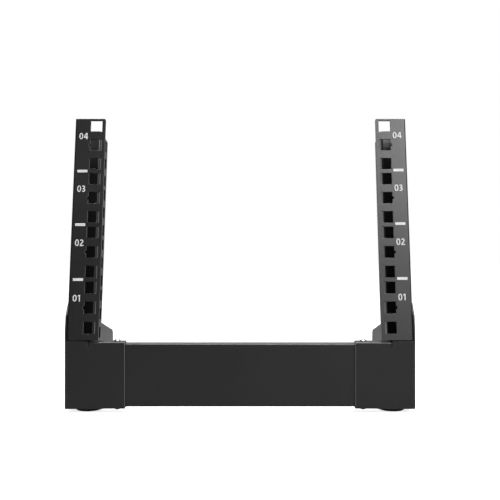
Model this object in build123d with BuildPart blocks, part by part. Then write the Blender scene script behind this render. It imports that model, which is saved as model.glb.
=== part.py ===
from build123d import *
from math import cos, radians, sin, tan
import os

# Desktop rack for 10-inch equipment, four units high. Two perforated uprights of folded sheet lean
# back between two wedge-shaped base sides, which a front crossbar ties together, on rubber feet.
# Frame: +X right, +Y back, +Z up, with the origin on the desk under the middle of the base.
# All lengths are in millimetres.

# Rack standard
UNIT_HEIGHT = 44.45
UNITS = 4
FIRST_HOLE = 6.35
HOLE_PITCH = 15.875
HOLES_PER_UNIT = 3
HOLE_SPACING = 236.525
SQUARE_HOLE = 9.5
INDEX_NOTCH_RADIUS = 1.3

# Base
BASE_WIDTH = 274.4
BASE_DEPTH = 202.0
BASE_HEIGHT = 52.9
BASE_SHEET = 1.2
BEND_INSIDE = 0.2
BRACKET_WIDTH = 46.8
BRACKET_FLANGE_DEPTH = 12.0
BRACKET_FLANGE_DROP = 0.6
BRACKET_CORNER = 2.0
RELIEF_PLACE = 17.7
RELIEF_WIDTH = 1.2
RELIEF_DEPTH = 5.0
PANEL_FRONT_RISE = 20.0
PANEL_PEAK_RISE = 29.8
PANEL_PEAK_BACK = 12.0
PANEL_PEAK_RADIUS = 3.0
PANEL_REAR_HEIGHT = 40.2
PANEL_REAR_RADIUS = 6.0
FOOT_FLANGE_WIDTH = 28.0
FOOT_FLANGE_RELIEF = 3.0

# Crossbar between the two brackets
CROSSBAR_OVERLAP = 15.1
CROSSBAR_FLANGE_DEPTH = 9.6
NEST_CLEARANCE = 0.2

# Uprights
LEAN = 10.0
UPRIGHT_SHEET = 1.5
UPRIGHT_FIT = 0.25
UPRIGHT_SEAM = 0.8
FLANGE_EDGE = 7.4
RECESS_DEPTH = 31.0
STEP_WIDTH = 14.9
UPRIGHT_DEPTH = 62.0
FIRST_UNIT_RISE = 4.2
UPRIGHT_CORNER = 1.2
SIDE_HOLE_EDGE = 3.7
SIDE_HOLE_LENGTH = 6.5
TONGUE_SETBACK = 10.0
TONGUE_DROP = 36.0
TONGUE_CORNER = 4.0

# Fastening
SCREW_HOLE = 3.4
SCREW_HEAD = 6.2
THREAD_HOLE = 3.0
BRACKET_SCREW_INSET = 6.6
BRACKET_SCREW_BACK = 7.0
UPRIGHT_SCREW_BACK = 17.0
UPRIGHT_SCREW_RISES = (16.0, -14.0, -32.0)

# Rubber feet
FOOT_DIAMETER = 20.0
FOOT_HEIGHT = 3.3
FOOT_EDGE = 0.8
FOOT_INSET = 16.0
FOOT_BACK = 16.0
STEM_DIAMETER = 6.0
STEM_CLEARANCE = 0.1
STEM_HEAD_DIAMETER = 8.4
STEM_HEAD_HEIGHT = 2.2
FOOT_RECESS_DIAMETER = 7.0
FOOT_RECESS_DEPTH = 1.2

# Places that follow from the sizes above
HALF_WIDTH = BASE_WIDTH / 2
FRONT = -BASE_DEPTH / 2
BACK = BASE_DEPTH / 2
BASE_BOTTOM = FOOT_HEIGHT
SEAM = BASE_BOTTOM + BASE_HEIGHT
FLANGE_TOP = SEAM - BRACKET_FLANGE_DROP
BEND_OUTSIDE = BEND_INSIDE + BASE_SHEET
BEND_MIDDLE = BEND_INSIDE + BASE_SHEET / 2
FLANGE_BEND = BEND_MIDDLE - 0.001  # a hair short of the bend, as the flange's line ends where it does
BRACKET_INNER = HALF_WIDTH - BRACKET_WIDTH
RELIEF_OUTER = HALF_WIDTH - RELIEF_PLACE
RELIEF_INNER = RELIEF_OUTER - RELIEF_WIDTH
FOOT_FLANGE_INNER = HALF_WIDTH - FOOT_FLANGE_WIDTH
PEAK = SEAM + PANEL_PEAK_RISE
CROSSBAR_HALF = BRACKET_INNER + CROSSBAR_OVERLAP
BRACKET_SCREW_X = BRACKET_INNER + BRACKET_SCREW_INSET
FOOT_X = HALF_WIDTH - FOOT_INSET
UPRIGHT_OUTER = HALF_WIDTH - BASE_SHEET - UPRIGHT_FIT
FLANGE_INNER = HOLE_SPACING / 2 - FLANGE_EDGE
UPRIGHT_TOP = FIRST_UNIT_RISE + UNITS * UNIT_HEIGHT
UPRIGHT_BEND = BEND_INSIDE + UPRIGHT_SHEET / 2
HOLE_RISES = [
    FIRST_UNIT_RISE + unit * UNIT_HEIGHT + FIRST_HOLE + step * HOLE_PITCH
    for unit in range(UNITS)
    for step in range(HOLES_PER_UNIT)
]
MIDDLE_HOLE_RISES = HOLE_RISES[1::HOLES_PER_UNIT]

# The leaning frame of the uprights starts at the seam on the base's front: RAIL_SECTION looks along
# an upright, RAIL_FACE lies in its front, and RAIL_SIDE stands square to X with its local x running
# back and its local y running up the lean.
RAIL_START = (0, FRONT, SEAM)
UP_THE_LEAN = (0, sin(radians(LEAN)), cos(radians(LEAN)))
RAIL_SECTION = Plane(origin=RAIL_START, x_dir=(1, 0, 0), z_dir=UP_THE_LEAN)
RAIL_FACE = Plane(origin=RAIL_START, x_dir=(1, 0, 0), z_dir=(0, -UP_THE_LEAN[2], UP_THE_LEAN[1]))
RAIL_SIDE = Plane(origin=RAIL_START, x_dir=(0, UP_THE_LEAN[2], -UP_THE_LEAN[1]), z_dir=(1, 0, 0))

# The outer face of the left panel, seen from the left, with its local x running to the front
LEFT_PANEL_FACE = Plane(origin=(-HALF_WIDTH, 0, 0), x_dir=(0, -1, 0), z_dir=(-1, 0, 0))


def lean_back(rise):
    """How far back the front of an upright is, at this height above the seam."""
    return rise * tan(radians(LEAN))


# Screws that hold each upright to its panel, as places in Y and Z
UPRIGHT_SCREWS = [
    (FRONT + lean_back(rise) + UPRIGHT_SCREW_BACK, SEAM + rise) for rise in UPRIGHT_SCREW_RISES
]


# Left base side: one sheet, bent round the front corner, with three flanges
with BuildPart() as left_base_side:
    with BuildSketch(Plane.XY.offset(BASE_BOTTOM)):
        with BuildLine():
            FilletPolyline(
                (-BRACKET_INNER, FRONT + BASE_SHEET / 2),
                (-HALF_WIDTH + BASE_SHEET / 2, FRONT + BASE_SHEET / 2),
                (-HALF_WIDTH + BASE_SHEET / 2, BACK),
                radius=BEND_MIDDLE,
            )
        trace(line_width=BASE_SHEET)
    extrude(amount=PEAK - BASE_BOTTOM)

    # The panel is a wedge: its front edge leans with the upright and its top falls to the back
    with BuildSketch(Plane.YZ):
        with BuildLine():
            Polyline(
                (FRONT, BASE_BOTTOM),
                (FRONT, SEAM),
                (FRONT + lean_back(PANEL_FRONT_RISE), SEAM + PANEL_FRONT_RISE),
                (FRONT + PANEL_PEAK_BACK, PEAK),
                (BACK, BASE_BOTTOM + PANEL_REAR_HEIGHT),
                (BACK, BASE_BOTTOM),
                close=True,
            )
        make_face()
        fillet(vertices().sort_by(Axis.X)[-2:].sort_by(Axis.Y)[-1], radius=PANEL_REAR_RADIUS)
        fillet(vertices().sort_by(Axis.Y)[-1], radius=PANEL_PEAK_RADIUS)
    extrude(amount=HALF_WIDTH, both=True, mode=Mode.INTERSECT)

    # The front wall stops at the seam, and short of the bends of the bracket's flanges
    with BuildSketch(Plane.XZ.offset(-FRONT)):
        with Locations((-BRACKET_INNER, SEAM)):
            Rectangle(
                BRACKET_WIDTH - BASE_SHEET, PANEL_PEAK_RISE, align=(Align.MAX, Align.MIN)
            )
        with Locations((-BRACKET_INNER, FLANGE_TOP - BEND_OUTSIDE)):
            Rectangle(RELIEF_INNER - BRACKET_INNER, PANEL_PEAK_RISE, align=(Align.MAX, Align.MIN))
        with Locations((-RELIEF_INNER, SEAM - RELIEF_DEPTH)):
            Rectangle(RELIEF_WIDTH, PANEL_PEAK_RISE, align=(Align.MAX, Align.MIN))
        with Locations((-BRACKET_INNER, BASE_BOTTOM)):
            Rectangle(
                FOOT_FLANGE_INNER - RELIEF_WIDTH - BRACKET_INNER,
                BEND_OUTSIDE,
                align=(Align.MAX, Align.MIN),
            )
    extrude(amount=-FOOT_FLANGE_RELIEF, mode=Mode.SUBTRACT)

    # The panel stops short of the bend of its foot flange
    with BuildSketch(Plane.XY.offset(BASE_BOTTOM)):
        with Locations((-HALF_WIDTH, FRONT + FOOT_FLANGE_RELIEF)):
            Rectangle(BEND_OUTSIDE, BASE_DEPTH, align=(Align.MIN, Align.MIN))
    extrude(amount=BEND_OUTSIDE, mode=Mode.SUBTRACT)

    # Foot flange, turned in along the foot of the panel
    with BuildSketch(Plane.XZ.offset(-BACK)):
        with BuildLine():
            FilletPolyline(
                (-HALF_WIDTH + BASE_SHEET / 2, BASE_BOTTOM + BEND_OUTSIDE),
                (-HALF_WIDTH + BASE_SHEET / 2, BASE_BOTTOM + BASE_SHEET / 2),
                (-FOOT_FLANGE_INNER, BASE_BOTTOM + BASE_SHEET / 2),
                radius=FLANGE_BEND,
            )
        trace(line_width=BASE_SHEET)
    extrude(amount=BASE_DEPTH - FOOT_FLANGE_RELIEF)

    # Top and bottom flanges of the bracket, turned back over the crossbar
    for edge_z, inward, outer_x in (
        (FLANGE_TOP, -1, RELIEF_INNER),
        (BASE_BOTTOM, 1, FOOT_FLANGE_INNER - RELIEF_WIDTH),
    ):
        with BuildSketch(Plane.YZ.offset(-outer_x)):
            with BuildLine():
                FilletPolyline(
                    (FRONT + BASE_SHEET / 2, edge_z + inward * BEND_OUTSIDE),
                    (FRONT + BASE_SHEET / 2, edge_z + inward * BASE_SHEET / 2),
                    (FRONT + BRACKET_FLANGE_DEPTH, edge_z + inward * BASE_SHEET / 2),
                    radius=FLANGE_BEND,
                )
            trace(line_width=BASE_SHEET)
        extrude(amount=outer_x - BRACKET_INNER)
    inner_edges = left_base_side.edges().filter_by(Axis.Z).group_by(Axis.X)[-1]
    fillet(inner_edges.group_by(Axis.Y)[-1], radius=BRACKET_CORNER)

    # Holes for the crossbar's screws, the feet and the upright's countersunk screws
    with Locations((-BRACKET_SCREW_X, FRONT + BRACKET_SCREW_BACK, SEAM)):
        Hole(radius=SCREW_HOLE / 2, depth=BASE_HEIGHT * 2)
    with Locations(
        (-FOOT_X, FRONT + FOOT_BACK, BASE_BOTTOM + BASE_SHEET),
        (-FOOT_X, BACK - FOOT_BACK, BASE_BOTTOM + BASE_SHEET),
    ):
        Hole(radius=STEM_DIAMETER / 2 + STEM_CLEARANCE, depth=BASE_SHEET)
    with Locations(LEFT_PANEL_FACE):
        with Locations(*[(-y, z) for y, z in UPRIGHT_SCREWS]):
            CounterSinkHole(
                radius=SCREW_HOLE / 2, counter_sink_radius=SCREW_HEAD / 2, depth=BASE_SHEET
            )
left_base_side.part.label = "left_base_side"


# Left upright: a Z-shaped section with a front flange, an outer web, a step and a side wall
with BuildPart() as left_upright:
    with BuildSketch(RAIL_SECTION.offset(UPRIGHT_SEAM)):
        half_sheet = UPRIGHT_SHEET / 2
        step_inner = UPRIGHT_OUTER - STEP_WIDTH
        with BuildLine():
            FilletPolyline(
                (-FLANGE_INNER, half_sheet),
                (-UPRIGHT_OUTER + half_sheet, half_sheet),
                (-UPRIGHT_OUTER + half_sheet, RECESS_DEPTH + half_sheet),
                (-step_inner - half_sheet, RECESS_DEPTH + half_sheet),
                (-step_inner - half_sheet, UPRIGHT_DEPTH),
                radius=UPRIGHT_BEND,
            )
        trace(line_width=UPRIGHT_SHEET)
    extrude(amount=UPRIGHT_TOP - UPRIGHT_SEAM)

    # The web, the step and the side wall run on down inside the base as a tongue
    with BuildSketch(RAIL_SECTION.offset(UPRIGHT_SEAM)):
        with BuildLine():
            FilletPolyline(
                (-UPRIGHT_OUTER + half_sheet, TONGUE_SETBACK),
                (-UPRIGHT_OUTER + half_sheet, RECESS_DEPTH + half_sheet),
                (-step_inner - half_sheet, RECESS_DEPTH + half_sheet),
                (-step_inner - half_sheet, UPRIGHT_DEPTH),
                radius=UPRIGHT_BEND,
            )
        trace(line_width=UPRIGHT_SHEET)
    extrude(amount=-TONGUE_DROP)

    # Rounded free corners of the front flange, the side wall and the tongue
    backwards = Axis((0, 0, 0), RAIL_SIDE.x_dir)
    up_the_lean = Axis((0, 0, 0), UP_THE_LEAN)
    tongue_end = left_upright.edges().filter_by(Axis.X).group_by(up_the_lean)[0]
    fillet(tongue_end.sort_by(backwards)[0], radius=TONGUE_CORNER)
    flange_corners = left_upright.edges().filter_by(backwards).group_by(backwards)[0]
    wall_corners = left_upright.edges().filter_by(Axis.X).group_by(backwards)[-1]
    fillet(flange_corners + wall_corners, radius=UPRIGHT_CORNER)

    # Square holes of the front flange, with a half-round notch at each unit's middle hole
    with BuildSketch(RAIL_FACE):
        with Locations(*[(-HOLE_SPACING / 2, rise) for rise in HOLE_RISES]):
            Rectangle(SQUARE_HOLE, SQUARE_HOLE)
        with Locations(*[(-HOLE_SPACING / 2 - SQUARE_HOLE / 2, rise) for rise in MIDDLE_HOLE_RISES]):
            Circle(INDEX_NOTCH_RADIUS)
    extrude(amount=-RECESS_DEPTH / 2, mode=Mode.SUBTRACT)

    # Tall slots of the side wall, close to its rear edge
    with BuildSketch(RAIL_SIDE.offset(-step_inner)):
        side_hole_back = UPRIGHT_DEPTH - SIDE_HOLE_EDGE - SIDE_HOLE_LENGTH / 2
        with Locations(*[(side_hole_back, rise) for rise in HOLE_RISES]):
            Rectangle(SIDE_HOLE_LENGTH, SQUARE_HOLE)
    extrude(amount=STEP_WIDTH / 2, both=True, mode=Mode.SUBTRACT)

    # Threaded holes for the screws that come through the panel
    with Locations(LEFT_PANEL_FACE):
        with Locations(*[(-y, z) for y, z in UPRIGHT_SCREWS]):
            Hole(radius=THREAD_HOLE / 2, depth=STEP_WIDTH / 2)
left_upright.part.label = "left_upright"


with BuildPart() as right_base_side:
    mirror(left_base_side.part, about=Plane.YZ)
right_base_side.part.label = "right_base_side"

with BuildPart() as right_upright:
    mirror(left_upright.part, about=Plane.YZ)
right_upright.part.label = "right_upright"


# Front crossbar: a C-section that nests inside the two brackets
with BuildPart() as front_crossbar:
    bar_front = FRONT + BASE_SHEET + NEST_CLEARANCE
    bar_top = FLANGE_TOP - BASE_SHEET - NEST_CLEARANCE
    bar_bottom = BASE_BOTTOM + BASE_SHEET + NEST_CLEARANCE
    with BuildSketch(Plane.YZ.offset(-CROSSBAR_HALF)):
        with BuildLine():
            FilletPolyline(
                (bar_front + CROSSBAR_FLANGE_DEPTH, bar_top - BASE_SHEET / 2),
                (bar_front + BASE_SHEET / 2, bar_top - BASE_SHEET / 2),
                (bar_front + BASE_SHEET / 2, bar_bottom + BASE_SHEET / 2),
                (bar_front + CROSSBAR_FLANGE_DEPTH, bar_bottom + BASE_SHEET / 2),
                radius=BEND_MIDDLE,
            )
        trace(line_width=BASE_SHEET)
    extrude(amount=2 * CROSSBAR_HALF)
    with Locations(
        (-BRACKET_SCREW_X, FRONT + BRACKET_SCREW_BACK, SEAM),
        (BRACKET_SCREW_X, FRONT + BRACKET_SCREW_BACK, SEAM),
    ):
        Hole(radius=THREAD_HOLE / 2, depth=BASE_HEIGHT * 2)
front_crossbar.part.label = "front_crossbar"


# Rubber foot: a flat disc with a stem that snaps through the foot flange
def rubber_foot(x, y):
    """One foot, centred under the point x, y of the desk."""
    stem = STEM_DIAMETER / 2
    flange_top = BASE_BOTTOM + BASE_SHEET
    with BuildPart() as foot:
        with BuildSketch(Plane.XZ):
            with BuildLine():
                Polyline(
                    (0, FOOT_RECESS_DEPTH),
                    (FOOT_RECESS_DIAMETER / 2, FOOT_RECESS_DEPTH),
                    (FOOT_RECESS_DIAMETER / 2, 0),
                    (FOOT_DIAMETER / 2, 0),
                    (FOOT_DIAMETER / 2, FOOT_HEIGHT),
                    (stem, FOOT_HEIGHT),
                    (stem, flange_top + STEM_CLEARANCE),
                    (STEM_HEAD_DIAMETER / 2, flange_top + STEM_CLEARANCE),
                    (stem, flange_top + STEM_HEAD_HEIGHT),
                    (0, flange_top + STEM_HEAD_HEIGHT),
                    close=True,
                )
            make_face()
            fillet(vertices().sort_by(Axis.X)[-2:].sort_by(Axis.Y)[0], radius=FOOT_EDGE)
        revolve(axis=Axis.Z)
    return Pos(x, y, 0) * foot.part


FEET = {
    "front_left_foot": (-FOOT_X, FRONT + FOOT_BACK),
    "front_right_foot": (FOOT_X, FRONT + FOOT_BACK),
    "rear_left_foot": (-FOOT_X, BACK - FOOT_BACK),
    "rear_right_foot": (FOOT_X, BACK - FOOT_BACK),
}

os.makedirs("parts", exist_ok=True)
for piece in (left_base_side, right_base_side, left_upright, right_upright, front_crossbar):
    export_step(piece.part, f"parts/{piece.part.label}.step")
for name, (x, y) in FEET.items():
    foot = rubber_foot(x, y)
    foot.label = name
    export_step(foot, f"parts/{name}.step")
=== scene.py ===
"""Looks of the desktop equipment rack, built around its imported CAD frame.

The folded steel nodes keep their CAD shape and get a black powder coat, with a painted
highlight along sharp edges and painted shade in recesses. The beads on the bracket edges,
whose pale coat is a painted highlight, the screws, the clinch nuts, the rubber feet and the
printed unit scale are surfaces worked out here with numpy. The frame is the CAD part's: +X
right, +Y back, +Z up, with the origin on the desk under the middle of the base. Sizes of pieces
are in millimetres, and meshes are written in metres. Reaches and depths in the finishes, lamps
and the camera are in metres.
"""

import sys
import logging
import math
from dataclasses import dataclass, field
from enum import Enum

import bpy
import numpy as np
from mathutils.geometry import tessellate_polygon
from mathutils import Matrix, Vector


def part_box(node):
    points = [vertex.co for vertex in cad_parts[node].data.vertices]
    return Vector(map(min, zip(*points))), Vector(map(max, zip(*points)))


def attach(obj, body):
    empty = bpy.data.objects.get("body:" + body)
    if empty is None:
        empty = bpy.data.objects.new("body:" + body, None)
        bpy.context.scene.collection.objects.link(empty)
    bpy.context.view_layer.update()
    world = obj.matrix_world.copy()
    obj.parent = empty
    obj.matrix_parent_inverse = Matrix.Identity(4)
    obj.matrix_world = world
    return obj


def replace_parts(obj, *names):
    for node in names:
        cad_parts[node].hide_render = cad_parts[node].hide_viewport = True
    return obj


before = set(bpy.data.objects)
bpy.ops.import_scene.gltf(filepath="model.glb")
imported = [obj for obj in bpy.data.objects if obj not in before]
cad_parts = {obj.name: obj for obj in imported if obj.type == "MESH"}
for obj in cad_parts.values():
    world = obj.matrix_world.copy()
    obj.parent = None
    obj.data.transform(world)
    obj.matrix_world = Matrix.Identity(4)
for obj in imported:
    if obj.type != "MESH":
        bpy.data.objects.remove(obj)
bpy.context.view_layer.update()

MM = 0.001
BODY = "root"
BLACK = (0.0, 0.0, 0.0)
WHITE = (1.0, 1.0, 1.0, 1.0)

Point = tuple[float, float, float]
Colour = tuple[float, float, float]
Pair = tuple[float, float]
Socket = bpy.types.NodeSocket

log = logging.getLogger("rack")


class Slot(Enum):
    """Material slots of the record, which the log names beside each piece."""

    STEEL = "black_steel"
    RUBBER = "rubber"
    SCREW = "screw_steel"
    PRINT = "white_print"


class Side(Enum):
    """The two sides of the rack, as the sign of X."""

    LEFT = -1
    RIGHT = 1

    @property
    def label(self) -> str:
        """The side's name inside the names of pieces."""
        return self.name.lower()


# The frame's own sizes


@dataclass(frozen=True)
class NodeBox:
    """The lowest and the highest corner of a CAD node, in millimetres."""

    low: np.ndarray
    high: np.ndarray

    @classmethod
    def read(cls, node: str) -> "NodeBox":
        """Reads a node's box from the frame, to a thousandth of a millimetre."""
        return cls(*(np.round(np.array(corner) / MM, 3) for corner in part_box(node)))


@dataclass(frozen=True)
class RackLines:
    """Lines of the rack that its new pieces are set by, in millimetres and degrees.

    The seam is the lower edge of the uprights' front flanges, from which they lean back. The
    brackets wrap the crossbar with a small gap between the two sheets.
    """

    seam: float = 56.2
    lean: float = 10.0
    base_sheet: float = 1.2
    upright_sheet: float = 1.5
    wrap_gap: float = 0.2
    side: NodeBox = field(default_factory=lambda: NodeBox.read("right_base_side"))
    upright: NodeBox = field(default_factory=lambda: NodeBox.read("right_upright"))
    crossbar: NodeBox = field(default_factory=lambda: NodeBox.read("front_crossbar"))

    @property
    def front(self) -> float:
        """Y of the brackets' face."""
        return self.side.low[1]

    @property
    def foot(self) -> float:
        """Z of the underside of the base."""
        return self.side.low[2]

    @property
    def top(self) -> float:
        """Z of the top flanges of the brackets."""
        return self.crossbar.high[2] + self.wrap_gap + self.base_sheet


# Meshes


def write_mesh(
    name: str,
    points: np.ndarray,
    faces: list[np.ndarray],
    uv: np.ndarray | None = None,
    smooth_angle: float = 35.0,
) -> bpy.types.Object:
    """Puts computed arrays into a mesh object at the origin.

    Args:
        name: the object's name.
        points: vertices in millimetres, one row each.
        faces: arrays of vertex numbers, one row a face, each array with its own corner count.
        uv: one pair a vertex, or None.
        smooth_angle: edges that turn by more than this, in degrees, stay sharp.

    Returns:
        The new object, linked to the scene.
    """
    corners = np.concatenate([f.ravel() for f in faces]).astype(np.int32)
    counts = np.concatenate([np.full(len(f), f.shape[1]) for f in faces]).astype(np.int32)
    starts = np.concatenate([[0], np.cumsum(counts)[:-1]]).astype(np.int32)
    mesh = bpy.data.meshes.new(name)
    mesh.vertices.add(len(points))
    mesh.vertices.foreach_set("co", (points * MM).astype(np.float32).ravel())
    mesh.loops.add(len(corners))
    mesh.loops.foreach_set("vertex_index", corners)
    mesh.polygons.add(len(counts))
    mesh.polygons.foreach_set("loop_start", starts)
    mesh.polygons.foreach_set("loop_total", counts)
    mesh.polygons.foreach_set("use_smooth", np.ones(len(counts), bool))
    if uv is not None:
        layer = mesh.uv_layers.new(name="surface")
        layer.data.foreach_set("uv", uv[corners].astype(np.float32).ravel())
    mesh.update(calc_edges=True)
    mesh.validate()
    mesh.set_sharp_from_angle(angle=math.radians(smooth_angle))
    piece = bpy.data.objects.new(name, mesh)
    bpy.context.scene.collection.objects.link(piece)
    return piece


def full_turn(count: int) -> np.ndarray:
    """Even angles round a circle from 0, in radians, without the last one that closes it."""
    return np.linspace(0, 2 * np.pi, count, endpoint=False)


def arc(centre: Pair, radius: float, start: float, end: float, count: int) -> np.ndarray:
    """Points centre + radius times (cos, sin), from one angle in degrees to another."""
    t = np.radians(np.linspace(start, end, count))
    return np.stack([centre[0] + radius * np.cos(t), centre[1] + radius * np.sin(t)], axis=-1)


def ring_faces(rings: int, around: int, closed: bool = False) -> np.ndarray:
    """Quads of a grid that closes on itself around, ring by ring.

    Corner (i, j) is followed by (i, j+1), (i+1, j+1) and (i+1, j), with j taken modulo the count
    around, so a profile that runs outwards below and inwards above faces outwards.

    Args:
        rings: number of rings.
        around: number of points in a ring.
        closed: whether the last ring joins the first.

    Returns:
        An array of quads.
    """
    i = np.arange(rings if closed else rings - 1)[:, None]
    j = np.arange(around)[None, :]
    here, there = i * around, ((i + 1) % rings) * around
    turn = (j + 1) % around
    return np.stack([here + j, here + turn, there + turn, there + j], axis=-1).reshape(-1, 4)


def end_fans(rings: int, around: int) -> list[np.ndarray]:
    """Triangles that close both ends of a grid, each with a point that follows its last ring.

    Args:
        rings: number of rings.
        around: number of points in a ring.

    Returns:
        The fan on the first ring, and the fan on the last.
    """
    j = np.arange(around)
    turn = (j + 1) % around
    pole, last = rings * around, (rings - 1) * around
    return [
        np.stack([np.full(around, pole), turn, j], axis=-1),
        np.stack([np.full(around, pole + 1), last + j, last + turn], axis=-1),
    ]


@dataclass(frozen=True)
class Seat:
    """Where a turned piece sits: its origin, and the direction in which its own z points."""

    origin: Point
    axis: Point

    def place(self, points: np.ndarray) -> np.ndarray:
        """Turns points by the rotation that takes z to the axis, then moves them to the origin.

        The two cross directions are the axis crossed with the world direction least like it, and
        the axis crossed with that, which with the axis make a right-handed set.

        Args:
            points: one row each, in the piece's own frame.

        Returns:
            The points in the rack's frame.
        """
        z = np.array(self.axis, float)
        z /= np.linalg.norm(z)
        x = np.cross(np.eye(3)[np.argmin(np.abs(z))], z)
        x /= np.linalg.norm(x)
        y = np.cross(z, x)
        return points @ np.stack([x, y, z]) + np.array(self.origin)


def turned(
    name: str, radius: np.ndarray, height: np.ndarray, seat: Seat, poles: bool = True
) -> bpy.types.Object:
    """A surface turned about an axis: point (i, j) is radius[i, j] out at angle j, at height[i].

    Args:
        name: the object's name.
        radius: one row a ring and one column an angle, so a ring may be round, hexagonal or
            knurled.
        height: one value a ring.
        seat: where the piece sits.
        poles: True closes both ends with a point on the axis, and False joins the last ring to
            the first, which makes a washer.

    Returns:
        The new object, with a UV map of the angle and of the length along the profile in
        millimetres.
    """
    rings, around = radius.shape
    angle = full_turn(around)
    heights = np.broadcast_to(height[:, None], radius.shape)
    grid = np.stack([radius * np.cos(angle), radius * np.sin(angle), heights], axis=-1)
    points = grid.reshape(-1, 3)
    steps = np.hypot(np.diff(radius.mean(1)), np.diff(height))
    along = np.concatenate([[0], np.cumsum(steps)])
    uv = np.stack(np.broadcast_arrays(angle[None, :] / (2 * np.pi), along[:, None]), axis=-1)
    uv = uv.reshape(-1, 2)
    faces = [ring_faces(rings, around, closed=not poles)]
    if poles:
        points = np.vstack([points, [[0, 0, height[0]], [0, 0, height[-1]]]])
        uv = np.vstack([uv, [[0.5, 0], [0.5, along[-1]]]])
        faces += end_fans(rings, around)
    return write_mesh(name, seat.place(points), faces, uv)


def round_rings(profile: np.ndarray, around: int) -> tuple[np.ndarray, np.ndarray]:
    """Radii and heights of a plain turned profile, each row of it a radius and a height."""
    return np.repeat(profile[:, :1], around, axis=1), profile[:, 1]


def swept(
    name: str,
    path: np.ndarray,
    outward: np.ndarray,
    across: np.ndarray,
    radius: float,
    around: int = 16,
) -> bpy.types.Object:
    """A round bar along a path, closed with a point at each end.

    Point (i, j) is path[i] + radius times (cos j times outward[i] + sin j times across).

    Args:
        name: the object's name.
        path: the bar's middle line, one row a ring.
        outward: unit vectors square to the path, one a ring.
        across: the unit vector square to the path and to all of those.
        radius: the bar's radius.
        around: number of points in a ring.

    Returns:
        The new object, with a UV map of the angle and of the share of the path.
    """
    angle = full_turn(around)[:, None]
    grid = path[:, None] + radius * (np.cos(angle) * outward[:, None] + np.sin(angle) * across)
    points = np.vstack([grid.reshape(-1, 3), path[:1], path[-1:]])
    shares = np.meshgrid(np.linspace(0, 1, around), np.arange(len(path)) / len(path))
    uv = np.vstack([np.stack(shares, axis=-1).reshape(-1, 2), [[0.5, 0.0], [0.5, 1.0]]])
    faces = [ring_faces(len(path), around), *end_fans(len(path), around)]
    return write_mesh(name, points, faces, uv)


# Finishes


class Nodes:
    """A tree's nodes, made and linked in few words."""

    def __init__(self, tree: bpy.types.NodeTree) -> None:
        """Takes a tree and empties it."""
        self.tree = tree
        self.tree.nodes.clear()

    def add(self, kind: str, values: dict | None = None, **settings: object) -> bpy.types.Node:
        """Adds one node.

        Args:
            kind: the node's type name.
            values: input name or number to a constant, or to an output socket that is linked.
            **settings: the node's own properties.

        Returns:
            The node.
        """
        node = self.tree.nodes.new(kind)
        for key, value in settings.items():
            setattr(node, key, value)
        for key, value in (values or {}).items():
            self.feed(node.inputs[key], value)
        return node

    def feed(self, target: Socket, value: object) -> None:
        """Links an output socket to an input, or sets the input to a constant."""
        if isinstance(value, Socket):
            self.tree.links.new(value, target)
        else:
            target.default_value = value

    def math(self, operation: str, *values: float | Socket) -> Socket:
        """One arithmetic step on values or sockets."""
        node = self.add("ShaderNodeMath", dict(enumerate(values)), operation=operation)
        return node.outputs["Value"]

    def ramp(
        self, value: Socket, source: Pair, target: tuple = (0.0, 1.0), **settings: object
    ) -> Socket:
        """Maps one range to another, clamped at its ends.

        Args:
            value: what is mapped.
            source: the values at the two ends.
            target: what they become, numbers or sockets.
            **settings: the map node's own properties.

        Returns:
            The mapped value.
        """
        keys = ("Value", "From Min", "From Max", "To Min", "To Max")
        values = dict(zip(keys, (value, *source, *target)))
        return self.add("ShaderNodeMapRange", values, **settings).outputs["Result"]

    def mix(self, share: Socket, low: float | Socket, high: float | Socket) -> Socket:
        """A value between two, by share. A Mix node's sockets share names, so they go by number."""
        return self.add("ShaderNodeMix", {0: share, 2: low, 3: high}).outputs[0]

    def weighted(self, first: Socket, second: Socket, share: float) -> Socket:
        """The sum of share times the first value and the rest of 1 times the second."""
        parts = self.math("MULTIPLY", first, share), self.math("MULTIPLY", second, 1 - share)
        return self.math("ADD", *parts)

    def rays(self) -> tuple[Socket, Socket]:
        """Two shares: 1 on rays of the camera or through glass, and 1 on rays in gloss."""
        paths = self.add("ShaderNodeLightPath").outputs
        seen = self.math("MAXIMUM", paths["Is Camera Ray"], paths["Is Transmission Ray"])
        return seen, paths["Is Glossy Ray"]


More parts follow.
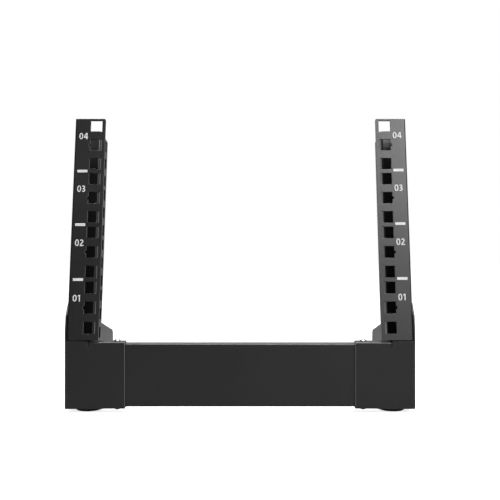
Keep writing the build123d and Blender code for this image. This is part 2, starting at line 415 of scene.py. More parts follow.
class FinishNodes(Nodes):
    """The nodes of one material, around one Principled shader."""

    def __init__(self, name: str) -> None:
        """Starts a material of that name with its shader, its output and its coordinates."""
        self.material = bpy.data.materials.new(name)
        self.material.use_nodes = True
        super().__init__(self.material.node_tree)
        self.shader = self.add("ShaderNodeBsdfPrincipled")
        self.add("ShaderNodeOutputMaterial", {"Surface": self.shader.outputs["BSDF"]})
        self.place = self.add("ShaderNodeTexCoord").outputs["Object"]
        self.uv = self.add("ShaderNodeUVMap", uv_map="surface").outputs["UV"]

    def along(self, axis: str) -> Socket:
        """The X, Y or Z of the Object coordinates."""
        return self.add("ShaderNodeSeparateXYZ", {0: self.place}).outputs[axis]

    def noise(
        self,
        scale: float,
        detail: float = 2.0,
        roughness: float = 0.5,
        vector: Socket | None = None,
    ) -> Socket:
        """A noise from 0 to 1.

        Args:
            scale: lumps a metre on Object coordinates, or in each unit of the vector.
            detail: how many finer noises are added.
            roughness: how strong those are.
            vector: other coordinates than the Object ones, or None.

        Returns:
            The noise.
        """
        values = {"Scale": scale, "Detail": detail, "Roughness": roughness}
        node = self.add("ShaderNodeTexNoise", {**values, "Vector": vector or self.place})
        return node.outputs["Fac"]

    def colour_mix(self, share: Socket, low: Colour | Socket, high: Colour | Socket) -> Socket:
        """A colour between two, by share.

        Args:
            share: 0 for the low colour and 1 for the high one.
            low: three values, or an output socket.
            high: three values, or an output socket.

        Returns:
            The colour. A Mix node's colour sockets share names with others, so they go by number.
        """
        ends = {
            key: end if isinstance(end, Socket) else (*end, 1) for key, end in ((6, low), (7, high))
        }
        return self.add("ShaderNodeMix", {0: share, **ends}, data_type="RGBA").outputs[2]

    def bump(self, height: Socket, depth: float, normal: Socket | None = None) -> Socket:
        """A bumped normal.

        Args:
            height: the relief, from 0 to 1.
            depth: how deep that whole range is, in metres.
            normal: the normal that it is added to, or None for the surface's own.

        Returns:
            The new normal.
        """
        values = {"Height": height, "Distance": depth, "Strength": 1.0}
        if normal is not None:
            values["Normal"] = normal
        return self.add("ShaderNodeBump", values).outputs["Normal"]

    def wire(self, **sockets: object) -> bpy.types.Material:
        """Sets or links the shader's inputs, named with _ for a space, and returns the material."""
        for key, value in sockets.items():
            self.feed(self.shader.inputs[key.replace("_", " ")], value)
        return self.material


@dataclass(frozen=True)
class PowderCoat:
    """Black powder coat on folded steel: a fine sanded grain over a soft orange peel."""

    name: str = "black_powder_coat"
    dark: Colour = (0.0046, 0.0047, 0.0048)
    pale: Colour = (0.0074, 0.0075, 0.0077)
    # Colour of the painted highlight that is mixed in along sharp edges.
    edge: Colour = (0.024, 0.024, 0.025)
    contrast: Pair = (0.36, 0.64)
    roughness: Pair = (0.34, 0.42)
    gloss_range: Pair = (0.5, 1.0)
    specular: float = 0.75
    grains: float = 2600.0
    grain_depth: float = 0.000012
    grain_share: float = 0.7
    grain_in_gloss: float = 0.5
    peel: float = 420.0
    peel_depth: float = 0.000018
    handling: float = 14.0
    handled_range: Pair = (0.3, 0.7)
    # The painted highlight along sharp edges: the bevel's radius, how far it must turn the normal,
    # and its strength over the handling noise.
    edge_radius: float = 0.00022
    edge_turn: Pair = (0.985, 0.80)
    edge_highlight_strength: Pair = (0.35, 1.0)
    # Painted shade in recesses: how far the occlusion reaches, its range, the share of tone and
    # gloss left deep inside, and the heights of the open top end where it lifts.
    recess_reach: float = 0.04
    recess_range: Pair = (0.64, 1.0)
    recess_share: float = 0.34
    open_end: Pair = (0.196, 0.218)

    def build(self) -> bpy.types.Material:
        """Grain, peel and the marks of handling are three noises, over edges that a bevel rounds.

        Returns:
            The coat, paler along its edges and duller in the recesses.
        """
        n = FinishNodes(self.name)
        grain = n.noise(self.grains, detail=3.0, roughness=0.65)
        peel = n.noise(self.peel, detail=1.5)
        handled = n.noise(self.handling, detail=3.0, roughness=0.6)
        tone = n.ramp(n.weighted(grain, handled, self.grain_share), self.contrast)
        body = n.colour_mix(tone, self.dark, self.pale)
        rounded = n.add("ShaderNodeBevel", {"Radius": self.edge_radius}, samples=6)
        normal = rounded.outputs["Normal"]
        unevenness = n.math("ADD", handled, n.math("MULTIPLY", grain, self.grain_in_gloss))
        # Painted shade: tone and gloss sink in recesses and lift near the open top end.
        unshaded_share = self._unshaded_share(n)
        # Painted highlight: the pale edge colour mixed in along sharp edges.
        outside = n.colour_mix(self._edge_highlight(n, normal, handled), body, self.edge)
        return n.wire(
            # The painted shade mixes the colour towards black and scales the specular level.
            Base_Color=n.colour_mix(unshaded_share, BLACK, outside),
            Roughness=n.ramp(unevenness, self.gloss_range, self.roughness),
            Normal=n.bump(grain, self.grain_depth, n.bump(peel, self.peel_depth, normal)),
            Specular_IOR_Level=n.math("MULTIPLY", unshaded_share, self.specular),
        )

    def _edge_highlight(self, n: FinishNodes, rounded: Socket, handled: Socket) -> Socket:
        """Where the painted highlight lies: where the bevel turns the normal, most where it is
        handled.

        Args:
            n: the coat's nodes.
            rounded: the normal with rounded edges.
            handled: the noise of handling.

        Returns:
            The share of the edge's colour.
        """
        flat = n.add("ShaderNodeNewGeometry").outputs["True Normal"]
        turn = n.add("ShaderNodeVectorMath", {0: rounded, 1: flat}, operation="DOT_PRODUCT")
        edges = n.ramp(turn.outputs["Value"], self.edge_turn)
        return n.math("MULTIPLY", edges, n.ramp(handled, self.handled_range, self.edge_highlight_strength))

    def _unshaded_share(self, n: FinishNodes) -> Socket:
        """The share of tone and gloss left under painted shade, by the ambient occlusion of its own
        sheet.

        Painted shade: tone and gloss sink where near surfaces of the same sheet close in, from all
        of it in the open to the recess's share deep inside. Between the two heights of the open
        end, where light falls in from above, that share rises to 1. Share and heights are given.

        Args:
            n: the coat's nodes.

        Returns:
            The share of tone and gloss that is left.
        """
        reach = {"Distance": self.recess_reach}
        near = n.add("ShaderNodeAmbientOcclusion", reach, samples=8, only_local=True)
        least = n.ramp(n.along("Z"), self.open_end, (self.recess_share, 1.0))
        return n.ramp(near.outputs["AO"], self.recess_range, (least, 1.0))


@dataclass(frozen=True)
class EdgeHighlightCoat(PowderCoat):
    """The same coat in paler colours, which paints the highlight on the beads along each bracket's
    edge.
    """

    name: str = "powder_coat_bead"
    # Lit copy of the coat's colours, a painted highlight.
    dark: Colour = (0.060, 0.060, 0.061)
    pale: Colour = (0.088, 0.088, 0.089)


@dataclass(frozen=True)
class PlatedSteel:
    """Bright zinc plating with the fine rings that turning leaves around each screw."""

    name: str = "plated_steel"
    dark: Colour = (0.52, 0.53, 0.55)
    pale: Colour = (0.74, 0.75, 0.77)
    contrast: Pair = (0.35, 0.65)
    roughness: Pair = (0.20, 0.34)
    ring_stretch: tuple[float, float, float] = (0.6, 26.0, 1.0)
    ring_depth: float = 0.000006
    ring_share: float = 0.5
    clouds: float = 900.0

    def build(self) -> bpy.types.Material:
        """Rings come from a noise stretched around the piece by its own UV map.

        Returns:
            The plating.
        """
        n = FinishNodes(self.name)
        stretch = n.add("ShaderNodeMapping", {"Vector": n.uv, "Scale": self.ring_stretch})
        rings = n.noise(1.0, vector=stretch.outputs["Vector"])
        clouds = n.noise(self.clouds, detail=3.0, roughness=0.6)
        tone = n.ramp(n.weighted(rings, clouds, self.ring_share), self.contrast)
        return n.wire(
            Base_Color=n.colour_mix(tone, self.dark, self.pale),
            Roughness=n.ramp(tone, (0.0, 1.0), self.roughness),
            Normal=n.bump(rings, self.ring_depth),
            Metallic=1.0,
        )


@dataclass(frozen=True)
class MouldedRubber:
    """Black rubber from a finely spark-eroded mould, a little greyer where dust clings."""

    name: str = "black_rubber"
    dark: Colour = (0.010, 0.010, 0.011)
    pale: Colour = (0.026, 0.026, 0.027)
    contrast: Pair = (0.38, 0.66)
    roughness: Pair = (0.55, 0.72)
    specular: float = 0.4
    mould: float = 3200.0
    mould_depth: float = 0.00002
    dust: float = 260.0
    dust_share: float = 0.6

    def build(self) -> bpy.types.Material:
        """Two noises: mould texture for bump and gloss, and a broader one for the colour.

        Returns:
            The rubber.
        """
        n = FinishNodes(self.name)
        mould = n.noise(self.mould, roughness=0.6)
        dust = n.noise(self.dust, detail=4.0, roughness=0.65)
        tone = n.ramp(n.weighted(dust, mould, self.dust_share), self.contrast)
        return n.wire(
            Base_Color=n.colour_mix(tone, self.dark, self.pale),
            Roughness=n.ramp(tone, (0.0, 1.0), self.roughness),
            Normal=n.bump(mould, self.mould_depth),
            Specular_IOR_Level=self.specular,
        )


@dataclass(frozen=True)
class ScreenPrint:
    """White ink, printed thin enough for the powder coat's grain to show through it."""

    name: str = "white_ink"
    dark: Colour = (0.38, 0.38, 0.38)
    pale: Colour = (0.50, 0.50, 0.495)
    contrast: Pair = (0.34, 0.55)
    roughness: Pair = (0.58, 0.42)
    grains: float = 2600.0
    grain_depth: float = 0.00001
    grain_share: float = 0.6
    squeegee: float = 700.0

    def build(self) -> bpy.types.Material:
        """The coat's grain dulls the ink where it sinks, with a broader unevenness of the squeegee.

        Returns:
            The ink.
        """
        n = FinishNodes(self.name)
        grain = n.noise(self.grains, detail=3.0, roughness=0.65)
        pull = n.noise(self.squeegee)
        tone = n.ramp(n.weighted(grain, pull, self.grain_share), self.contrast)
        return n.wire(
            Base_Color=n.colour_mix(tone, self.dark, self.pale),
            Roughness=n.ramp(tone, (0.0, 1.0), self.roughness),
            Normal=n.bump(grain, self.grain_depth),
        )


@dataclass
class Finishes:
    """The rack's materials, each built once."""

    coat: bpy.types.Material = field(default_factory=lambda: PowderCoat().build())
    bead: bpy.types.Material = field(default_factory=lambda: EdgeHighlightCoat().build())
    plating: bpy.types.Material = field(default_factory=lambda: PlatedSteel().build())
    rubber: bpy.types.Material = field(default_factory=lambda: MouldedRubber().build())
    ink: bpy.types.Material = field(default_factory=lambda: ScreenPrint().build())


def dress(piece: bpy.types.Object, finish: bpy.types.Material, slot: Slot) -> bpy.types.Object:
    """Gives a new piece its finish and its body, and reports it with its slot.

    Args:
        piece: the piece, with its place in its mesh.
        finish: its material.
        slot: the record's slot that the finish belongs to.

    Returns:
        The same piece.
    """
    piece.data.materials.append(finish)
    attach(piece, BODY)
    log.info("%s: %d faces, %s", piece.name, len(piece.data.polygons), slot.value)
    return piece


# Sub-assemblies


@dataclass
class SteelFrame:
    """The folded sheets, which keep their CAD shape."""

    finishes: Finishes
    nodes: tuple[str, ...] = (
        "left_base_side", "right_base_side", "left_upright", "right_upright", "front_crossbar",
    )

    def build(self) -> None:
        """Puts the powder coat on each sheet."""
        for name in self.nodes:
            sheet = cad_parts[name]
            sheet.data.materials.clear()
            sheet.data.materials.append(self.finishes.coat)
            log.info("%s: carried over, powder coat", name)


@dataclass
class BracketBeads:
    """Beads along the inner edges of the two brackets, over their end bends, as a painted
    highlight.
    """

    finishes: Finishes
    lines: RackLines
    bend: float = 1.4
    bend_steps: int = 7
    radius: float = 0.45
    run: float = 1.0

    def build(self) -> None:
        """Lays one bead on each bracket.

        The middle line runs forward under the foot, up the front and back over the top, a bead's
        radius inside the sheet's outer face, with a quarter circle round each bend.
        """
        turn, y = self.bend - self.radius, self.lines.front + self.bend
        low = arc((y, self.lines.foot + self.bend), turn, 270, 180, self.bend_steps)
        high = arc((y, self.lines.top - self.bend), turn, 180, 90, self.bend_steps)
        line = np.vstack([low[0] + [self.run, 0], low, high, high[-1] + [self.run, 0]])
        bends = np.linspace((270, 180), (180, 90), self.bend_steps, axis=1).ravel()
        angle = np.radians([270, *bends, 90])
        outward = np.stack([np.zeros(len(line)), np.cos(angle), np.sin(angle)], axis=-1)
        across = np.array([1.0, 0.0, 0.0])
        for side in Side:
            edge = side.value * self.lines.side.low[0]
            path = np.column_stack([np.full(len(line), edge), line])
            bead = swept(f"{side.label}_bracket_bead", path, outward, across, self.radius)
            # Each bead wears the pale coat, a painted highlight of the bracket's edge.
            dress(bead, self.finishes.bead, Slot.STEEL)


class Head(Enum):
    """The two kinds of screw head on the rack."""

    BUTTON = "button"
    COUNTERSUNK = "countersunk"


@dataclass
class SocketScrew:
    """A screw with a hexagon socket; z points out of its head, from 0 at the face it clamps."""

    head: Head
    length: float = 6.0
    core: float = 1.22
    thread: float = 0.2
    pitch: float = 0.5
    thread_rings: int = 6
    thread_start: float = 0.5
    tip_height: float = 0.35
    tip_share: float = 0.72
    neck: float = 1.44
    head_radius: float = 2.75
    head_height: float = 1.5
    head_edge: float = 0.12
    rim: float = 0.3
    under_radius: float = 1.6
    under_edge: float = 0.1
    neck_gap: float = 0.15
    dome_rings: int = 12
    dome_spacing: float = 0.9
    sink: float = 0.12
    cone_end: float = 1.28
    cone_gap: float = 0.02
    land: float = 0.14
    land_drop: float = 0.08
    socket_flat: float = 1.0
    socket_depth: float = 1.0
    socket_edge: float = 1.32
    socket_lip: float = 0.1
    socket_lip_drop: float = 0.03
    mouth_share: float = 1.06
    mouth_drops: Pair = (0.02, 0.1)
    floor_share: float = 0.97
    floor_edge: float = 0.05
    drill_radius: float = 0.35
    drill_depth: float = 0.22
    around: int = 48

    def build(self, name: str, seat: Seat) -> bpy.types.Object:
        """Makes the screw from its tip up over the head into the socket.

        The thread is a triangle wave: radius = core + thread times the wave of height over pitch
        less the turn's share.

        Args:
            name: the piece's name.
            seat: its place.

        Returns:
            The screw.
        """
        angle = full_turn(self.around)
        button = self.head is Head.BUTTON
        thread_end = -self.neck_gap if button else -self.cone_end - self.cone_gap
        step = self.pitch / self.thread_rings
        heights = np.arange(-self.length + self.thread_start, thread_end, step)
        wave = np.abs(2 * ((heights[:, None] / self.pitch - angle / (2 * np.pi)) % 1.0) - 1)
        tip = np.array([[self.core * self.tip_share, -self.length],
                        [self.core, -self.length + self.tip_height]])
        crown = self._button() if button else self._countersunk()
        tip_rings, tip_heights = round_rings(tip, self.around)
        crown_rings, crown_heights = round_rings(crown, self.around)
        socket_rings, socket_heights = self._socket(angle, crown_heights[-1])
        rings = [tip_rings, self.core + self.thread * wave, crown_rings, socket_rings]
        levels = [tip_heights, heights, crown_heights, socket_heights]
        return turned(name, np.vstack(rings), np.concatenate(levels), seat)

    def _button(self) -> np.ndarray:
        """Radii and heights of a button: a quarter ellipse over a short upright rim."""
        radius, inner = self.head_radius, self.socket_flat * self.socket_edge
        under = [[self.neck, 0], [self.under_radius, 0], [radius - self.head_edge, 0],
                 [radius, self.under_edge]]
        t = np.linspace(0, 1, self.dome_rings) ** self.dome_spacing * math.acos(inner / radius)
        rise = (self.head_height - self.rim) * np.sin(t) / np.sin(t[-1])
        return np.vstack([under, np.column_stack([radius * np.cos(t), self.rim + rise])])

    def _countersunk(self) -> np.ndarray:
        """Radii and heights of a cone that ends in a narrow land just under the face."""
        radius, inner = self.head_radius, self.socket_flat * self.socket_edge
        land_top = -self.sink - self.land_drop
        return np.array([
            [self.neck, -self.cone_end], [radius, land_top - self.land], [radius, land_top],
            [radius - self.head_edge, -self.sink], [inner + self.socket_lip, -self.sink],
            [inner, -self.sink - self.socket_lip_drop],
        ])

    def _socket(self, angle: np.ndarray, top: float) -> tuple[np.ndarray, np.ndarray]:
        """The socket, a hexagon with a bevelled mouth over a shallow drilled cone.

        Its radius is the flat distance over the cosine of the angle from the middle of a side.

        Args:
            angle: the angles around.
            top: the height of its mouth.

        Returns:
            The radii of its rings, and their heights.
        """
        side = np.pi / 3
        hexagon = self.socket_flat / np.cos((angle % side) - side / 2)
        drill = np.full(self.around, self.drill_radius)
        mouth, floor = hexagon * self.mouth_share, hexagon * self.floor_share
        deep = self.socket_depth
        drops = (*self.mouth_drops, deep - self.floor_edge, deep, deep + self.drill_depth)
        return np.stack([mouth, hexagon, hexagon, floor, drill]), top - np.array(drops)


@dataclass
class ClinchNut:
    """A round clinch nut with a knurled rim, z pointing away from the sheet that it sits on."""

    radius: float = 3.15
    thickness: float = 1.6
    bore: float = 1.55
    edge: float = 0.12
    rim_shares: tuple[float, ...] = (0.55, 0.62, 0.68)
    rim_edge: float = 0.02
    shoulder: float = 0.35
    shoulder_slope: float = 0.1
    top_edge: float = 0.08
    lead_in: Pair = (0.25, 0.22)
    knurls: int = 24
    knurl_depth: float = 0.05
    around: int = 96

    def build(self, name: str, seat: Seat) -> bpy.types.Object:
        """Turns a closed profile from the bore, out and up over the rim, and back down the bore.

        The rim's radius is waved by the cosine of the knurl count times the angle.

        Args:
            name: the piece's name.
            seat: its place.

        Returns:
            The nut.
        """
        r, t, b = self.radius, self.thickness, self.bore
        inner = r - self.shoulder
        below = [[b, 0.0], [r - self.edge, 0.0]]
        ends = r, r - self.rim_edge, inner
        rim = [[r, self.edge], *([end, t * share] for end, share in zip(ends, self.rim_shares))]
        above = [[inner - self.shoulder_slope, t - self.top_edge],
                 [inner - 2 * self.shoulder_slope, t],
                 [b + self.lead_in[0], t], [b, t - self.lead_in[1]], [b, t / 2]]
        radius, height = round_rings(np.array([*below, *rim, *above]), self.around)
        knurled = slice(len(below), len(below) + len(rim) - 1)
        radius[knurled] += self.knurl_depth * np.cos(self.knurls * full_turn(self.around))
        return turned(name, radius, height, seat, poles=False)


@dataclass
class Fastening:
    """All screws and nuts: four through the brackets, and three through each panel."""

    finishes: Finishes
    lines: RackLines
    bracket_x: float = 97.0
    bracket_y: float = -94.0
    panel_rises: tuple[float, ...] = (16.0, -14.0, -32.0)
    panel_back: float = 17.0

    def build(self) -> None:
        """Places every screw and the nut that it turns into."""
        for side in Side:
            self._bracket(side)
            self._panel(side)

    def _pair(self, names: tuple[str, str], head: Head, face: Seat, back: Seat) -> None:
        """Makes and dresses one screw and its nut.

        Args:
            names: the screw's name and the nut's.
            head: the kind of screw.
            face: where the screw's head sits.
            back: where the nut sits.
        """
        for piece in (SocketScrew(head).build(names[0], face), ClinchNut().build(names[1], back)):
            dress(piece, self.finishes.plating, Slot.SCREW)

    def _bracket(self, side: Side) -> None:
        """The button screws of one bracket, down through its top and up through its foot.

        Args:
            side: which bracket.
        """
        bar, sheet = self.lines.crossbar, self.lines.base_sheet
        x, y = side.value * self.bracket_x, self.bracket_y
        places = (
            ("top", self.lines.top, bar.high[2] - sheet, 1.0),
            ("foot", self.lines.foot, bar.low[2] + sheet, -1.0),
        )
        for where, face, inside, out in places:
            names = (f"{side.label}_bracket_screw_{where}", f"{side.label}_bracket_nut_{where}")
            seats = Seat((x, y, face), (0, 0, out)), Seat((x, y, inside), (0, 0, -out))
            self._pair(names, Head.BUTTON, *seats)

    def _panel(self, side: Side) -> None:
        """The countersunk screws that hold one upright to its panel, down the lean of its front.

        Args:
            side: which panel.
        """
        sign = side.value
        face = sign * self.lines.side.high[0]
        inside = sign * (self.lines.upright.high[0] - self.lines.upright_sheet)
        for number, rise in enumerate(self.panel_rises, start=1):
            lean_back = rise * math.tan(math.radians(self.lines.lean))
            y, z = self.lines.front + lean_back + self.panel_back, self.lines.seam + rise
            names = (f"{side.label}_panel_screw_{number}", f"{side.label}_panel_nut_{number}")
            seats = Seat((face, y, z), (sign, 0, 0)), Seat((inside, y, z), (-sign, 0, 0))
            self._pair(names, Head.COUNTERSUNK, *seats)


@dataclass
class RubberFoot:
    """A round foot with a ringed sole and a stem that snaps through the foot flange."""

    height: float
    flange: float
    radius: float = 10.0
    edge: float = 0.8
    edge_steps: int = 9
    rim: float = 0.35
    rim_steps: int = 6
    draft: float = 0.1
    recess: float = 3.5
    recess_depth: float = 1.2
    corner: float = 0.25
    lip: float = 0.15
    middle: float = 0.6
    grooves: tuple[float, ...] = (5.2, 6.6, 8.0)
    groove_width: float = 0.5
    groove_depth: float = 0.3
    stem: float = 3.0
    stem_gap: float = 0.1
    stem_head: float = 4.2
    stem_height: float = 2.2
    barb: float = 0.45
    nose: float = 0.2
    around: int = 96

    def build(self, name: str, x: float, y: float) -> bpy.types.Object:
        """Turns the profile from the middle of the sole, over the rounded rim and up the stem.

        Args:
            name: the piece's name.
            x: its centre, to the right.
            y: its centre, to the back.

        Returns:
            The foot.
        """
        rim_centre = (self.radius - self.draft - self.rim, self.height - self.rim)
        profile = np.vstack([
            self._sole(),
            arc((self.radius - self.edge, self.edge), self.edge, -90, 0, self.edge_steps),
            arc(rim_centre, self.rim, 0, 90, self.rim_steps),
            self._stem(),
        ])
        radius, height = round_rings(profile, self.around)
        return turned(name, radius, height, Seat((x, y, 0.0), (0, 0, 1)))

    def _sole(self) -> list[list[float]]:
        """Radii and heights of the recess in the sole and of the grooves around it."""
        recess, deep = self.recess, self.recess_depth
        rows = [[self.middle, deep], [recess - self.corner, deep], [recess, deep - self.corner],
                [recess, self.lip], [recess + self.lip, 0.0]]
        half = self.groove_width / 2
        for groove in self.grooves:
            rows += [[groove - half, 0.0], [groove - half / 2, self.groove_depth],
                     [groove + half / 2, self.groove_depth], [groove + half, 0.0]]
        return rows

    def _stem(self) -> list[list[float]]:
        """Radii and heights of the stem, with a barb over the flange and a blunt nose."""
        above = self.height + self.flange + self.stem_gap
        tip = self.height + self.flange + self.stem_height
        return [[self.stem, self.height], [self.stem, above],
                [self.stem_head - self.lip, above], [self.stem_head, above + self.lip],
                [self.stem_head - self.draft, above + self.barb],
                [self.stem + self.lip, tip - self.corner],
                [self.stem - self.nose, tip], [self.middle, tip]]


@dataclass
class Feet:
    """The four feet, each of which stands for its CAD node."""

    finishes: Finishes
    lines: RackLines

    def build(self) -> None:
        """Makes each foot under the base, at the middle of its CAD node's box."""
        shape = RubberFoot(height=self.lines.foot, flange=self.lines.base_sheet)
        for row in ("front", "rear"):
            for side in Side:
                node = f"{row}_{side.label}_foot"
                box = NodeBox.read(node)
                x, y, _ = (box.low + box.high) / 2
                foot = shape.build(f"{node}_moulded", x, y)
                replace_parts(dress(foot, self.finishes.rubber, Slot.RUBBER), node)


# The printed unit scale


@dataclass(frozen=True)
class DigitShapes:
    """Outlines of the plain digits that the scale needs, in millimetres, y up from the base line.

    An outline is a list of loops, the first of them the outer one and any other a counter.
    """

    height: float = 5.3
    width: float = 3.15
    stroke: float = 0.86
    squareness: float = 0.88
    zero_points: int = 64

    def zero(self) -> list[np.ndarray]:
        """Two rounded loops: x and y are half sizes times signed powers of |cos| and |sin|."""
        t = full_turn(self.zero_points)
        circle = np.stack([np.cos(t), np.sin(t)], axis=-1)
        shape = np.sign(circle) * np.abs(circle) ** self.squareness
        outer = np.array([self.width, self.height]) / 2
        inner = outer - [self.stroke, self.stroke * 0.86]
        return [outer + shape * outer, (outer + shape * inner)[::-1]]

    def one(self) -> list[np.ndarray]:
        """A stem with a flag at its upper left."""
        right, top = 2.15, self.height
        left = right - self.stroke
        return [np.array([
            (left, 0), (right, 0), (right, top), (left + 0.1, top),
            (0.2, top - 0.78), (0.5, top - 1.42), (left, top - 1.0),
        ], float)]

    def two(self) -> list[np.ndarray]:
        """A ring's arc, a straight diagonal down from it, and a bar on the base line."""
        centre, middle, half = (1.42, self.height - 1.46), 1.03, self.stroke / 2
        outer = arc(centre, middle + half, 152, -36, 22)
        inner = arc(centre, middle - half, -36, 152, 16)
        bar_top = self.stroke * 0.92
        bar = [(1.25, bar_top), (self.width, bar_top), (self.width, 0), (0.0, 0), (0.0, 0.62)]
        return [np.vstack([outer, bar, inner])[::-1]]

    def three(self) -> list[np.ndarray]:
        """Two bowls that meet in a short waist."""
        half = self.stroke / 2
        high, low = (1.28, self.height - 1.34), (1.28, 1.5)
        high_middle, low_middle = 0.93, 1.08
        waist = [(0.75, 2.36), (0.75, 3.05)]
        return [np.vstack([
            arc(high, high_middle + half, 148, -42, 20), arc(low, low_middle + half, 52, -145, 22),
            arc(low, low_middle - half, -145, 78, 16), waist,
            arc(high, high_middle - half, -78, 148, 14),
        ])[::-1]]

    def four(self) -> list[np.ndarray]:
        """A stem, a cross bar and a diagonal, with a three-cornered counter."""
        right, bar, end = 2.85, 1.2, 3.45
        left, bar_top = right - self.stroke, bar + self.stroke * 0.88
        outer = [(left, 0), (right, 0), (right, bar), (end, bar), (end, bar_top), (right, bar_top),
                 (right, self.height), (left - 0.2, self.height), (0.0, bar_top), (0.0, bar),
                 (left, bar)]
        counter = [(0.88, bar_top), (left, self.height - 1.05), (left, bar_top)]
        return [np.array(outer, float), np.array(counter, float)]


@dataclass
class UnitScale:
    """White unit numbers and ticks on the front flanges, outboard of the holes."""

    finishes: Finishes
    lines: RackLines
    units: int = 4
    unit_height: float = 44.45
    first_unit: float = 4.2
    number_rise: float = 7.45
    number_starts: Pair = (-132.05, 124.8)
    right_shift: float = 0.85
    digit_gap: float = 0.6
    one_kern: float = 0.15
    tick_length: float = 8.2
    tick_height: float = 2.2
    tick_corner: float = 0.35
    corner_steps: int = 6
    tick_x: float = 128.45
    ink: float = 0.05
    ink_sink: float = 0.2
    digits: DigitShapes = field(default_factory=DigitShapes)

    def build(self) -> None:
        """Prints one number in each unit and one tick at each boundary between two units."""
        for side, start in zip(Side, self.number_starts):
            shift = self.right_shift if side is Side.RIGHT else 0.0
            for unit in range(1, self.units + 1):
                rise = self.first_unit + (unit - 0.5) * self.unit_height + self.number_rise + shift
                corner = np.array([start, rise - self.digits.height / 2])
                self._print(f"{side.label}_number_0{unit}", self._number(unit, corner))
            for unit in range(1, self.units):
                rise = self.first_unit + unit * self.unit_height + shift
                tick = self._tick(side.value * self.tick_x, rise)
                self._print(f"{side.label}_tick_{unit}", [[tick]])

    def _number(self, unit: int, corner: np.ndarray) -> list[list[np.ndarray]]:
        """Outlines of a zero and the unit's digit beside it.

        Args:
            unit: the unit, from 1 to 4.
            corner: the lower left corner of the zero, across and up the rail.

        Returns:
            The outlines of both digits.
        """
        shapes = (self.digits.one, self.digits.two, self.digits.three, self.digits.four)
        kern = self.one_kern if unit == 1 else 0.0
        second = corner + [self.digits.width + self.digit_gap, 0] - [kern, 0]
        return [[loop + corner for loop in self.digits.zero()],
                [loop + second for loop in shapes[unit - 1]()]]

    def _tick(self, x: float, rise: float) -> np.ndarray:
        """A rectangle with its corners rounded by four quarter circles, anticlockwise."""
        a, b, r = self.tick_length / 2, self.tick_height / 2, self.tick_corner
        corners = ((a - r, r - b, -90), (a - r, b - r, 0), (r - a, b - r, 90), (r - a, r - b, 180))
        return np.vstack([
            arc((x + cx, rise + cy), r, t, t + 90, self.corner_steps) for cx, cy, t in corners
        ])

    def _print(self, name: str, glyphs: list[list[np.ndarray]]) -> None:
        """Fills outlines on the rail's face and gives them the ink's thickness.

        A point (x, rise) of an outline goes to x across, and to the front plus the rise times the
        lean's sine and cosine, moved out along the face's normal by the ink and in by its sink.

        Args:
            name: the piece's name.
            glyphs: outlines, each a list of loops that turn anticlockwise outside and clockwise
                inside.
        """
        a = math.radians(self.lines.lean)
        across = np.array([1.0, 0, 0])
        up = np.array([0, math.sin(a), math.cos(a)])
        out = np.array([0, -math.cos(a), math.sin(a)])
        start = np.array([0, self.lines.front, self.lines.seam])
        points, triangles, walls, count = [], [], [], 0
        for loops in glyphs:
            flat = np.vstack(loops)
            n = len(flat)
            face = start + flat[:, :1] * across + flat[:, 1:] * up
            points += [face + out * self.ink, face - out * self.ink * self.ink_sink]
            fill = self._fill(loops)
            triangles += [fill + count, fill[:, ::-1] + count + n]
            first = count
            for loop in loops:
                j = first + np.arange(len(loop))
                following = np.roll(j, -1)
                walls.append(np.stack([j + n, following + n, following, j], axis=-1))
                first += len(loop)
            count += 2 * n
        faces = [np.vstack(triangles), np.vstack(walls)]
        piece = write_mesh(name, np.vstack(points), faces, smooth_angle=30)
        dress(piece, self.finishes.ink, Slot.PRINT)

    @staticmethod
    def _fill(loops: list[np.ndarray]) -> np.ndarray:
        """Triangles that fill an outline, all turning anticlockwise.

        Args:
            loops: the outer loop and its counters.

        Returns:
            Triangles of numbers of the loops' points, counted on from loop to loop.
        """
        flat = np.vstack(loops)
        fill = np.array(tessellate_polygon([[(*p, 0) for p in loop] for loop in loops]))
        one, two, three = (flat[fill[:, k]] for k in range(3))
        a, b = two - one, three - one
        clockwise = a[:, 0] * b[:, 1] < a[:, 1] * b[:, 0]
        fill[clockwise] = fill[clockwise][:, ::-1]
        return fill


# The studio


@dataclass
class Lamp:
    """A rectangular softbox that looks at one point, with its radiance given plainly."""

    name: str
    place: Point
    size: Pair
    radiance: float
    target: Point = (0.0, 0.0, 0.11)

    def build(self) -> None:
        """Makes the lamp. Its power is pi times its area times its radiance."""
        light = bpy.data.lights.new(self.name, "AREA")
        light.shape = "RECTANGLE"
        light.size, light.size_y = self.size
        light.energy = math.pi * self.size[0] * self.size[1] * self.radiance
        lamp = bpy.data.objects.new(self.name, light)
        lamp.location = self.place
        back = np.array(self.place) - np.array(self.target)
        flat = math.hypot(back[0], back[1])
        lamp.rotation_euler = (math.atan2(flat, back[2]), 0, math.atan2(back[0], -back[1]))
        bpy.context.scene.collection.objects.link(lamp)


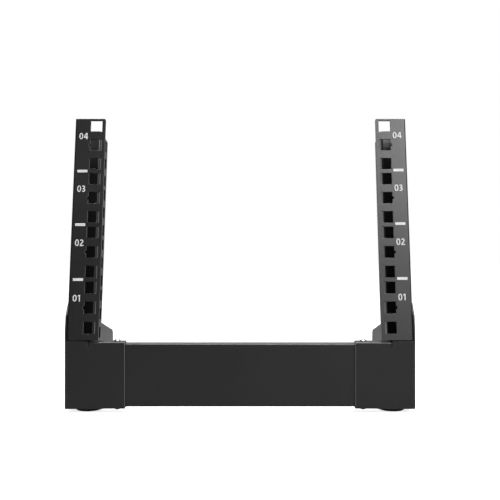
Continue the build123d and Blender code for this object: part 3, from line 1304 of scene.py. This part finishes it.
@dataclass
class Studio:
    """Pale floor, white surroundings, softboxes and the camera."""

    floor_radius: float = 6000.0
    floor_rings: int = 24
    floor_around: int = 64
    floor_colour: float = 0.80
    floor_fibres: float = 400.0
    floor_unevenness: float = 0.015
    floor_roughness: float = 0.9
    floor_glow: float = 0.80
    floor_in_gloss: Pair = (0.18, 0.42)
    floor_fade: Pair = (-0.12, 0.0)
    ambient: float = 0.35
    gloss_fade: Pair = (0.15, 0.75)
    front_gloss: float = 0.05
    back_gloss: float = 0.60
    camera_place: Point = (0.0078, -0.6851, 0.1275)
    lens: float = 53.86
    sensor: float = 36.0
    lamps: tuple[Lamp, ...] = (
        Lamp("key_softbox", (0.70, -1.25, 1.08), (0.75, 0.64), 10.8),
        Lamp("fill_softbox", (0.50, -1.30, 0.45), (0.5, 0.5), 1.0),
        Lamp("top_softbox", (0.0, -0.12, 1.5), (0.8, 0.4), 28.0),
        Lamp("right_strip", (1.3, -0.25, 0.5), (0.5, 0.9), 1.0),
    )

    def build(self) -> None:
        """Sets the stage, the light and the camera, in that order."""
        self._floor()
        self._world()
        for lamp in self.lamps:
            lamp.build()
        self._camera()
        bpy.context.scene.view_settings.view_transform = "Standard"

    def _floor(self) -> None:
        """A flat disc whose rings widen outwards: radius = floor radius times the share squared."""
        rings, around = self.floor_rings, self.floor_around
        angle = full_turn(around)
        radius = self.floor_radius * np.linspace(0, 1, rings + 1)[1:, None] ** 2
        flat = [radius * np.cos(angle), radius * np.sin(angle), np.zeros((rings, around))]
        grid = np.stack(flat, axis=-1).reshape(-1, 3)
        j = np.arange(around)
        middle = np.stack([np.full(around, len(grid)), j, np.roll(j, -1)], axis=-1)
        faces = [ring_faces(rings, around)[:, ::-1], middle]
        floor = write_mesh("studio_floor", np.vstack([grid, [[0, 0, 0]]]), faces)
        floor.data.materials.append(self._floor_finish())
        log.info("studio_floor: %d faces", len(floor.data.polygons))

    def _floor_finish(self) -> bpy.types.Material:
        """Pale paper that takes the shadow, with a glow for the camera so that it stays white.

        Returns:
            The paper, darker in the gloss of the rack than it is seen.
        """
        n = FinishNodes("studio_paper")
        seen, gloss = n.rays()
        fibres = n.noise(self.floor_fibres, detail=3.0, roughness=0.6)
        ends = ((self.floor_colour * (1 + sign * self.floor_unevenness),) * 3 for sign in (-1, 1))
        shade = n.colour_mix(fibres, *ends)
        mirrored = n.ramp(n.along("Y"), self.floor_fade, self.floor_in_gloss)
        return n.wire(
            Base_Color=n.colour_mix(gloss, shade, mirrored),
            Roughness=self.floor_roughness,
            Specular_IOR_Level=0.0,
            Emission_Color=WHITE,
            Emission_Strength=n.math("MULTIPLY", seen, self.floor_glow),
        )

    def _world(self) -> None:
        """White for the camera; bright behind and dim in front for gloss; even for the rest."""
        world = bpy.data.worlds.new("studio_air")
        world.use_nodes = True
        n = Nodes(world.node_tree)
        seen, gloss = n.rays()
        direction = n.add("ShaderNodeTexCoord").outputs["Generated"]
        backward = n.add("ShaderNodeSeparateXYZ", {0: direction}).outputs["Y"]
        levels = (self.front_gloss, self.back_gloss)
        mirrored = n.ramp(backward, self.gloss_fade, levels, interpolation_type="SMOOTHSTEP")
        strength = n.mix(seen, n.mix(gloss, self.ambient, mirrored), 1.0)
        air = n.add("ShaderNodeBackground", {"Color": WHITE, "Strength": strength})
        n.add("ShaderNodeOutputWorld", {"Surface": air.outputs["Background"]})
        bpy.context.scene.world = world

    def _camera(self) -> None:
        """The photograph's camera: level, in front of the rack, looking straight back."""
        data = bpy.data.cameras.new("photo_camera")
        data.lens = self.lens
        data.sensor_width = self.sensor
        camera = bpy.data.objects.new("photo_camera", data)
        camera.location = self.camera_place
        camera.rotation_euler = (math.radians(90), 0, 0)
        bpy.context.scene.collection.objects.link(camera)
        bpy.context.scene.camera = camera


def main() -> None:
    """Builds the rack's finishes, its sub-assemblies and the studio, in order."""
    logging.basicConfig(level=logging.INFO, format="%(name)s: %(message)s", stream=sys.stdout)
    finishes, lines = Finishes(), RackLines()
    SteelFrame(finishes).build()
    BracketBeads(finishes, lines).build()
    Fastening(finishes, lines).build()
    Feet(finishes, lines).build()
    UnitScale(finishes, lines).build()
    Studio().build()


if __name__ == "__main__":
    main()
